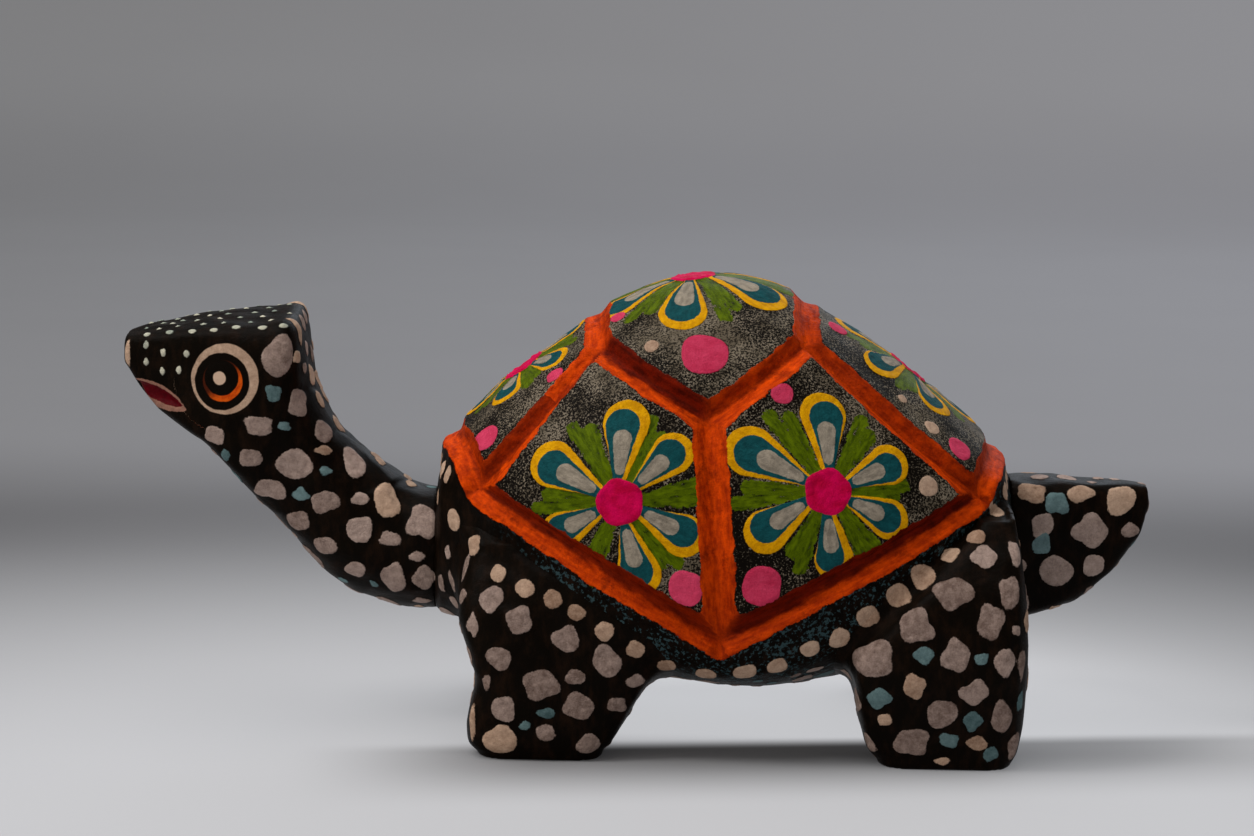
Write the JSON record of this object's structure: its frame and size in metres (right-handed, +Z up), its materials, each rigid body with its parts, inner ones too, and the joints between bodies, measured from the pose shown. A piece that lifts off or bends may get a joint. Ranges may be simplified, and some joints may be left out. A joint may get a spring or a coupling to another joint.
{
  "type": "carved turtle figure",
  "caption": "Carved wooden turtle standing on blocky legs, its domed shell cut into plates and painted with flowers, with a pull-out neck and tail.",
  "frame": {"origin": "centre of the footprint, on the plane of the four soles", "axes": "+X towards the tail, +Y towards the figure's right side, +Z up"},
  "size_m": [0.15, 0.062, 0.0666],
  "materials": {
    "shell_paint": "painted, satin, sponged grey over black with flowers",
    "skin_paint": "painted, satin black with grey and peach dabs",
    "bare_wood": "bare, sanded"
  },
  "bodies": {
    "body": {"shell_body": "shell_paint", "front_left_leg": "skin_paint", "front_right_leg": "skin_paint", "rear_left_leg": "skin_paint", "rear_right_leg": "skin_paint", "front_left_leg_dowel": "bare_wood", "front_right_leg_dowel": "bare_wood", "rear_left_leg_dowel": "bare_wood", "rear_right_leg_dowel": "bare_wood"},
    "neck": {"neck_and_head": "skin_paint", "neck_dowel": "bare_wood"},
    "tail": {"tail": "skin_paint", "tail_dowel": "bare_wood"}
  },
  "joints": [
    {"name": "neck_pull", "type": "slide", "parent": "body", "child": "neck", "axis": [-1, 0, 0], "range_m": [0, 0.012]},
    {"name": "tail_pull", "type": "slide", "parent": "body", "child": "tail", "axis": [1, 0, 0], "range_m": [0, 0.009]}
  ]
}
